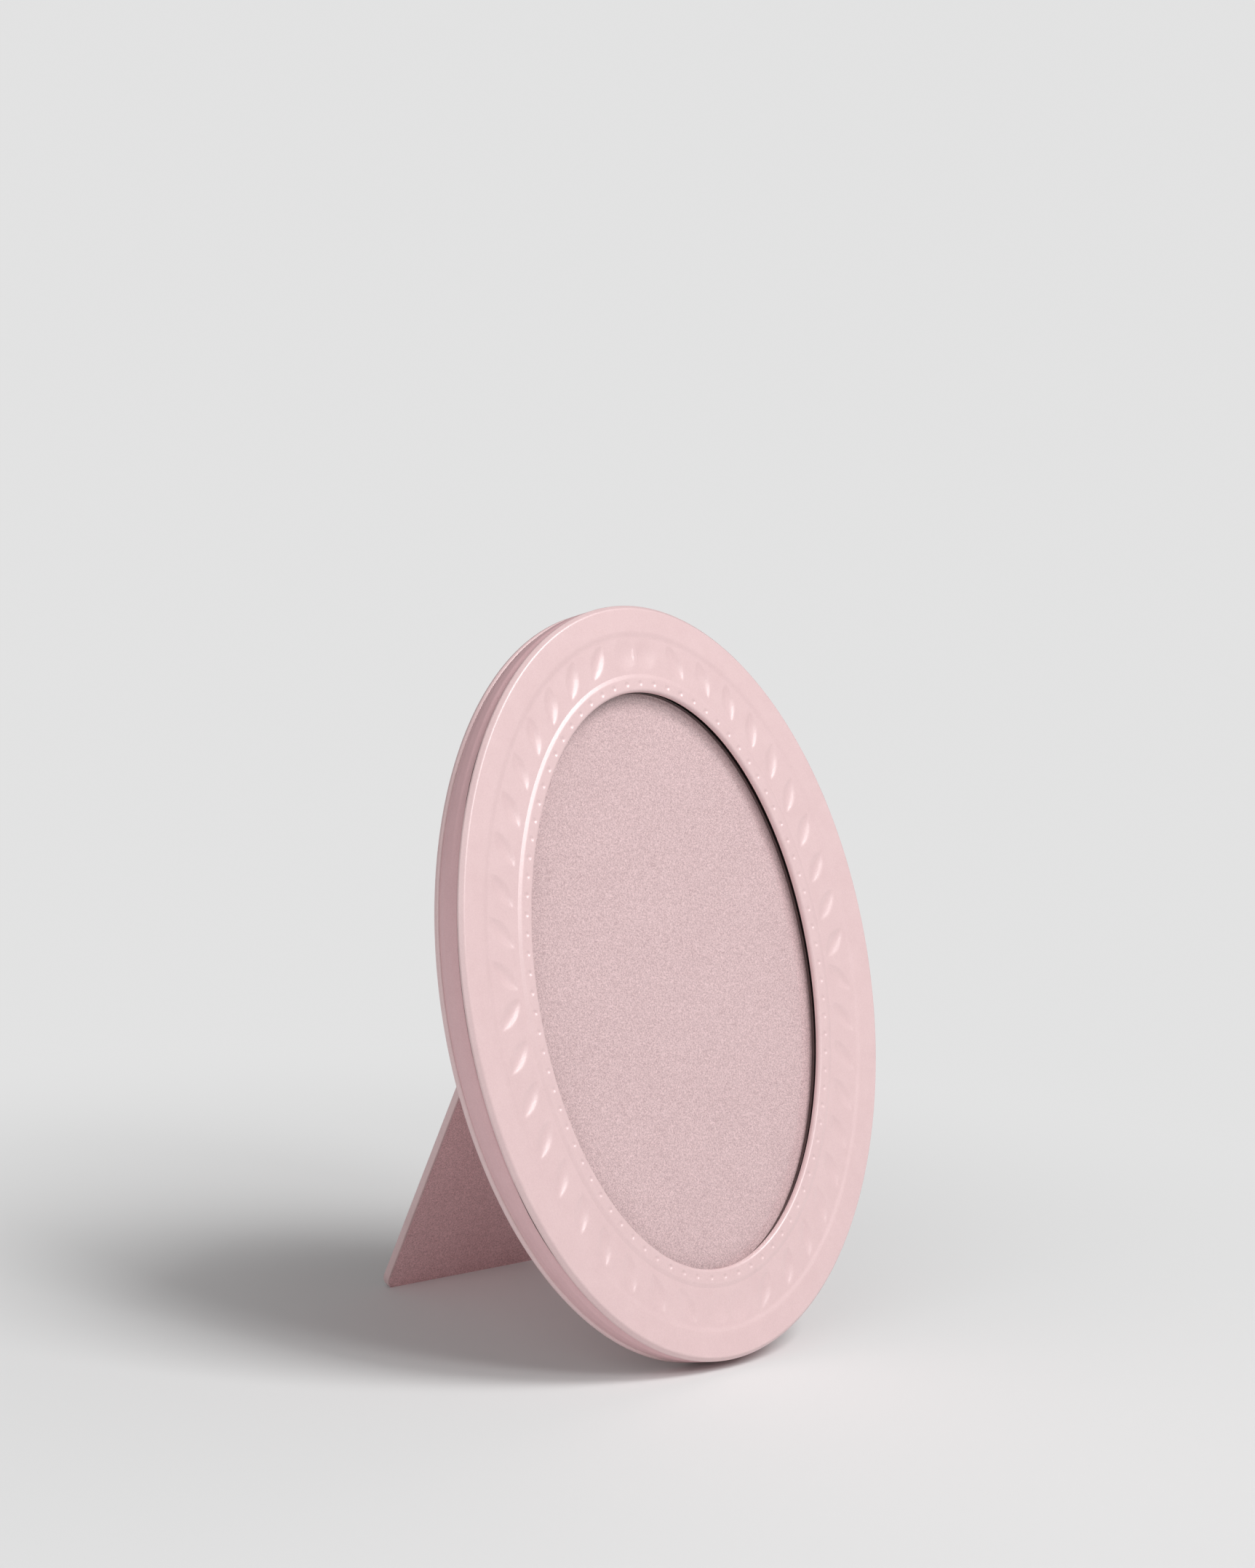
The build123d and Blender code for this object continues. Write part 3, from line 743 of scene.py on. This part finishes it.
class FRAME_OT_face(bpy.types.Operator):
    """Makes the tooled leather of the front panel"""

    bl_idname = "frame.make_face"
    bl_label = "Tooled face"

    def execute(self, context):
        sizes, tooling = context.scene.frame_sizes, context.scene.tooling_sizes
        leather = leather_finish()
        start, stop = sizes.channel_start, sizes.channel_start + sizes.channel_width
        sunk, back = sizes.channel_depth, sizes.panel
        back_round, side_round, front_round = 0.2 * MM, 0.6 * MM, 0.9 * MM
        fall_start, fall_end, soft = start - 0.3 * MM, start + 1.0 * MM, 3.6 * MM
        border = rounded_loop(
            [
                (0, back, back_round),
                (0, sizes.edge_depth, side_round),
                (sizes.edge_slope, 0, front_round),
                (fall_start, 0, soft),
                (fall_end, sunk, soft),
                (stop, sunk, 0),
                (stop, back, 0),
            ]
        )
        tooled_step, plain_step = 0.4 * MM, 1.5 * MM
        border = split_spans(border, start - MM, stop + MM, tooled_step)
        border = split_spans(border, MM, start, plain_step)
        piece = oval_shell("face_border", border, FACE_COLUMNS)
        level = sizes.half_height - (start + stop) / 2
        lobes = [
            (side * tooling.lobe_spread, up * level, -sunk, 0.0) for side, up in QUARTERS
        ]
        lobe_depth = 0.8 * tooling.leaf_depth
        lobe = round_stamp("lobe_stamp", tooling.lobe_radius, lobe_depth, bowl=1.5, steps=40)
        press(
            piece,
            [
                (leaf_stamp(), places_object("leaf_places", leaf_places())),
                (lobe, places_object("lobe_places", lobes)),
            ],
            leather,
        )
        piece.data.transform(face_matrix())
        own(piece, "frame", "tooled_leather", "face_leather")
        edge = sizes.band
        rise_start, rise_end, tuck = stop - 0.6 * MM, stop + 0.55 * MM, 0.02 * MM
        lip_back_round, dotted_step = 0.3 * MM, 0.24 * MM
        band = rounded_loop(
            [
                (rise_start, back, 0),
                (rise_start, sunk + tuck, 0),
                (rise_end, 0, soft / 2),
                (edge, 0, sizes.lip_radius),
                (edge, back, lip_back_round),
            ]
        )
        band = split_spans(band, stop, edge, dotted_step)
        piece = oval_shell("face_band", band, FACE_COLUMNS)
        angles = oval_angles(edge - tooling.dot_place, tooling.dots)
        across = sizes.half_width - edge + tooling.dot_place
        along = sizes.half_height - edge + tooling.dot_place
        dots = [(across * math.cos(a), along * math.sin(a), 0.0, 0.0) for a in angles]
        dot = round_stamp("dot_stamp", tooling.dot_radius, tooling.dot_depth, bowl=1.0, steps=20)
        press(piece, [(dot, places_object("dot_places", dots))], leather)
        piece.data.transform(face_matrix())
        own(piece, "frame", "tooled_leather", "face_leather")
        return {"FINISHED"}


class FRAME_OT_sides(bpy.types.Operator):
    """Makes the leather of the side and of the back rim"""

    bl_idname = "frame.make_sides"
    bl_label = "Side and back rim"

    def execute(self, context):
        sizes = context.scene.frame_sizes
        front, shoulder = sizes.panel, sizes.panel + sizes.seam
        heel_inset, heel_rise, heel_round = 0.45 * MM, 2.2 * MM, 0.25 * MM
        flat_low_round, flat_high_round = 4.0 * MM, 3.0 * MM
        top_inset, top_round = 0.5 * MM, 0.8 * MM
        groove_inset, groove_round = 1.1 * MM, 0.15 * MM
        pocket = sizes.band - 1.3 * MM
        leather, bevel = 0.7 * MM, 0.5 * MM
        side = rounded_loop(
            [
                (heel_inset, sizes.side_back, heel_round),
                (0, sizes.side_back - heel_rise, flat_low_round),
                (0, shoulder + 2.0 * MM, flat_high_round),
                (top_inset, shoulder + 0.3 * MM, top_round),
                (groove_inset, shoulder - 0.1 * MM, groove_round),
                (groove_inset, front, 0),
                (pocket, front, 0),
                (pocket, front + leather, 0),
                (leather + bevel, front + leather, 0),
                (leather, front + leather + bevel, 0),
                (leather, sizes.side_back, 0),
            ]
        )
        piece = oval_shell("side_band", side, SIDE_COLUMNS, face_matrix())
        # The side leather's colour carries painted shade with pink bounce light.
        piece.data.materials.append(side_finish_painted_shade())
        own(piece, "frame", "side_leather", "side_leather")
        front_round, back_round, opening_round = 0.75 * MM, 0.8 * MM, 0.3 * MM
        thin = 0.6 * MM
        rim = rounded_loop(
            [
                (0, sizes.side_back, front_round),
                (0, sizes.depth, back_round),
                (sizes.opening, sizes.depth, opening_round),
                (sizes.opening, sizes.depth - thin, 0),
                (thin, sizes.depth - thin, 0),
                (thin, sizes.side_back, 0),
            ]
        )
        piece = oval_shell("back_rim", rim, SIDE_COLUMNS, face_matrix())
        piece.data.materials.append(leather_finish())
        own(piece, "frame", "rim_leather", "back_rim_leather")
        return {"FINISHED"}


class FRAME_OT_display(bpy.types.Operator):
    """Makes the glass and finishes the suede behind it"""

    bl_idname = "frame.make_display"
    bl_label = "Glass and suede"

    def execute(self, context):
        sizes, colours = context.scene.frame_sizes, context.scene.frame_colours
        outer = sizes.band - sizes.glass_lap
        columns = 360
        angles = oval_angles(sizes.band, columns)
        back = sizes.glass_front + sizes.glass_thickness
        bevel = 0.3 * MM
        loops = []
        for inset, depth in (
            (outer + bevel, sizes.glass_front), (outer, sizes.glass_front + bevel),
            (outer, back - bevel), (outer + bevel, back),
        ):
            loop = [
                Vector(
                    (
                        (sizes.half_width - inset) * math.cos(a),
                        (sizes.half_height - inset) * math.sin(a) - sizes.glass_drop,
                    )
                )
                for a in angles
            ]
            loops.append((loop, -depth))
        piece = plate("glass", loops, face_matrix(), smooth=20)
        clear, edge, front_bevel = 0, 1, 2
        piece.data.materials.append(glass_finish())
        # The glass edge's dark colour is painted shade for the gap beside the glass.
        piece.data.materials.append(finish("ground_edge", colours.glass_edge, roughness=0.6))
        piece.data.materials.append(finish("bright_edge", colours.glass_bevel, roughness=0.5))
        flat_ends = 2
        for number, face in enumerate(piece.data.polygons):
            if number < flat_ends:
                face.material_index = clear
            elif number < flat_ends + columns:
                face.material_index = front_bevel
            else:
                face.material_index = edge
        own(piece, "frame", "glass", "glass_pane")
        suede = suede_finish("shown_suede", colours.suede, colours.suede_low)
        dress(["display_suede"], suede)
        return {"FINISHED"}


class FRAME_OT_leg(bpy.types.Operator):
    """Makes the easel leg's leather and suede"""

    bl_idname = "frame.make_leg"
    bl_label = "Easel leg"

    def execute(self, context):
        inner, length = 1.0 * MM, 148.80 * MM
        board, outer = inner - 0.5 * MM, inner - 2.4 * MM
        top, bottom, start = 16.4 * MM, 31.9 * MM, 3.0 * MM
        top_corner, foot_corner, corner_steps = 0.3 * MM, 4.0 * MM, 10
        taper = (bottom - top) / length

        def outline(inset):
            """The leg's outline, drawn in by an inset."""
            high = start + inset
            half = top + taper * start - inset
            return rounded_loop(
                [
                    (half, -high, top_corner),
                    (-half, -high, top_corner),
                    (inset - bottom, -length, foot_corner - inset),
                    (bottom - inset, -length, foot_corner - inset),
                ],
                corner_steps,
            )

        arc = np.linspace(0, math.pi / 2, 6)
        curve = [(1 - math.sin(a), 1 - math.cos(a)) for a in arc]
        big, small, lap = 0.6 * MM, 0.3 * MM, 0.6 * MM
        loops = [(outline(big * i), outer + big * j) for i, j in curve]
        loops += [(outline(small * i), inner - small * j) for i, j in reversed(curve)]
        loops += [(outline(lap), inner), (outline(lap), board)]
        leather = plate("leg_cover", loops, leg_matrix())
        leather.data.materials.append(leather_finish())
        lift_foot(leather)
        own(leather, "leg", "leg_leather", "leg_leather")
        nap = [(outline(lap), board)]
        nap += [(outline(lap + small * i), inner - small * j) for i, j in reversed(curve)]
        suede = plate("leg_lining", nap, leg_matrix())
        colours = context.scene.frame_colours
        # The lining's colour carries painted pink bounce light.
        suede.data.materials.append(
            suede_finish("lining_suede", colours.lining, colours.lining_low)
        )
        lift_foot(suede)
        own(suede, "leg", "leg_suede", "leg_suede")
        return {"FINISHED"}


def lift_foot(piece):
    """Cuts a leg piece level where it would go below the table."""
    _, tilt = leg_place()
    for vertex in piece.data.vertices:
        if vertex.co.z < 0:
            lift = -vertex.co.z / math.cos(tilt)
            vertex.co += Vector((0, -math.sin(tilt), math.cos(tilt))) * lift


class FRAME_OT_back(bpy.types.Operator):
    """Finishes the back panel, the brass and what lies inside"""

    bl_idname = "frame.make_back"
    bl_label = "Back and brass"

    def execute(self, context):
        colours = context.scene.frame_colours
        # The lining's colour carries painted pink bounce light.
        dress(
            ["back_panel_suede"],
            suede_finish("lining_suede", colours.lining, colours.lining_low),
        )
        brass = [f"turn_button_{number}" for number in range(1, 5)]
        brass += ["button_screws", "hinge_fixed_leaf", "fixed_leaf_rivets", "hinge_moving_leaf"]
        dress(brass + ["moving_leaf_rivets"], brass_finish())
        dress(
            ["hinge_pin"],
            finish("steel_wire", colours.steel, roughness=0.3, Metallic=1.0),
        )
        grain = grouped("calf_grain", calf_grain)
        dress(
            ["face_board", "back_rim_card", "display_board", "back_panel_board", "leg_board"],
            finish(
                "card", colours.card, shaded(colours.card, 0.8), grain,
                bump=0.02 * MM, roughness=0.9,
            ),
        )
        # Near-black painted shade on the ring, for the deep gap between the glass and the lip.
        dress(
            ["body_ring"],
            finish(
                "black_wood", colours.wood, shaded(colours.wood, 0.5), grain,
                bump=0.05 * MM, roughness=0.7,
            ),
        )
        dress(
            ["pressure_pad"],
            finish(
                "felt", colours.felt, shaded(colours.felt, 0.8),
                grouped("suede_nap", suede_nap), bump=0.1 * MM, roughness=0.95,
            ),
        )
        return {"FINISHED"}


class FRAME_OT_stage(bpy.types.Operator):
    """Makes the floor, the light and the camera"""

    bl_idname = "frame.make_stage"
    bl_label = "Stage"

    def execute(self, context):
        scene = context.scene
        scene.view_settings.view_transform = "Standard"
        around, reach = 96, 9.0
        turns = [2 * math.pi * i / around for i in range(around)]
        circle = [(reach * math.cos(a), reach * math.sin(a), 0) for a in turns]
        mesh = bpy.data.meshes.new("floor")
        mesh.from_pydata(circle, [], [tuple(range(around))])
        floor = bpy.data.objects.new("floor", mesh)
        scene.collection.objects.link(floor)
        mesh.materials.append(floor_finish())
        yaw, pitch, roll = math.radians(43.850), math.radians(6.46), math.radians(3.653)
        level = Vector((math.sin(yaw), math.cos(yaw), 0.0))
        side = Vector((math.cos(yaw), -math.sin(yaw), 0.0))
        upright = Vector((0.0, 0.0, 1.0))
        ahead = level * math.cos(pitch) - upright * math.sin(pitch)
        top = upright * math.cos(pitch) + level * math.sin(pitch)
        right = side * math.cos(roll) + top * math.sin(roll)
        up = top * math.cos(roll) - side * math.sin(roll)
        centre = Vector((0.0, scene.frame_sizes.face_shift, scene.frame_sizes.face_rise))
        from_centre = Vector((-516.32, -512.96, 130.58)) * MM
        place = centre + from_centre
        lens = bpy.data.cameras.new("camera")
        lens.lens = 66.79
        lens.sensor_fit = "VERTICAL"
        lens.sensor_height = 36.0
        lens.clip_start = 0.01
        camera = bpy.data.objects.new("camera", lens)
        camera.matrix_world = Matrix(
            (
                (right.x, up.x, -ahead.x, place.x),
                (right.y, up.y, -ahead.y, place.y),
                (right.z, up.z, -ahead.z, place.z),
                (0.0, 0.0, 0.0, 1.0),
            )
        )
        scene.collection.objects.link(camera)
        scene.camera = camera
        for name, direction, distance, width, power in LAMPS:
            self.lamp(name, direction, distance, width, power, centre)
        scene.world = studio_world()
        return {"FINISHED"}

    def lamp(self, name, direction, distance, width, power, target):
        """A square soft lamp that faces the frame."""
        light = bpy.data.lights.new(name, "AREA")
        light.size = width
        light.energy = power
        made = bpy.data.objects.new(name, light)
        way = Vector(direction).normalized()
        made.location = target + way * distance
        made.rotation_euler = (-way).to_track_quat("-Z", "Y").to_euler()
        bpy.context.scene.collection.objects.link(made)


class FRAME_PT_panel(bpy.types.Panel):
    """Lists the steps and the settings"""

    bl_label = "Leather frame"
    bl_idname = "FRAME_PT_panel"
    bl_space_type = "VIEW_3D"
    bl_region_type = "UI"
    bl_category = "Frame"

    def draw(self, context):
        """Draws a button for each step and a box for each group of settings."""
        for step in STEPS:
            self.layout.operator(step.bl_idname)
        for group in ("frame_sizes", "tooling_sizes", "frame_colours"):
            box = self.layout.box()
            settings = getattr(context.scene, group)
            for name in settings.__annotations__:
                box.prop(settings, name)


STEPS = [
    FRAME_OT_face, FRAME_OT_sides, FRAME_OT_display, FRAME_OT_leg, FRAME_OT_back, FRAME_OT_stage,
]
CLASSES = [FrameSizes, ToolingSizes, FrameColours, *STEPS, FRAME_PT_panel]


def register():
    """Registers the classes and their settings."""
    for made in CLASSES:
        bpy.utils.register_class(made)
    bpy.types.Scene.frame_sizes = PointerProperty(type=FrameSizes)
    bpy.types.Scene.tooling_sizes = PointerProperty(type=ToolingSizes)
    bpy.types.Scene.frame_colours = PointerProperty(type=FrameColours)


def unregister():
    """Takes the classes and their settings away."""
    for name in ("frame_sizes", "tooling_sizes", "frame_colours"):
        delattr(bpy.types.Scene, name)
    for made in reversed(CLASSES):
        bpy.utils.unregister_class(made)


def main():
    """Builds the dressed frame."""
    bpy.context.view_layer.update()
    register()
    bpy.ops.frame.make_face()
    bpy.ops.frame.make_sides()
    bpy.ops.frame.make_display()
    bpy.ops.frame.make_leg()
    bpy.ops.frame.make_back()
    bpy.ops.frame.make_stage()


if __name__ == "__main__":
    main()
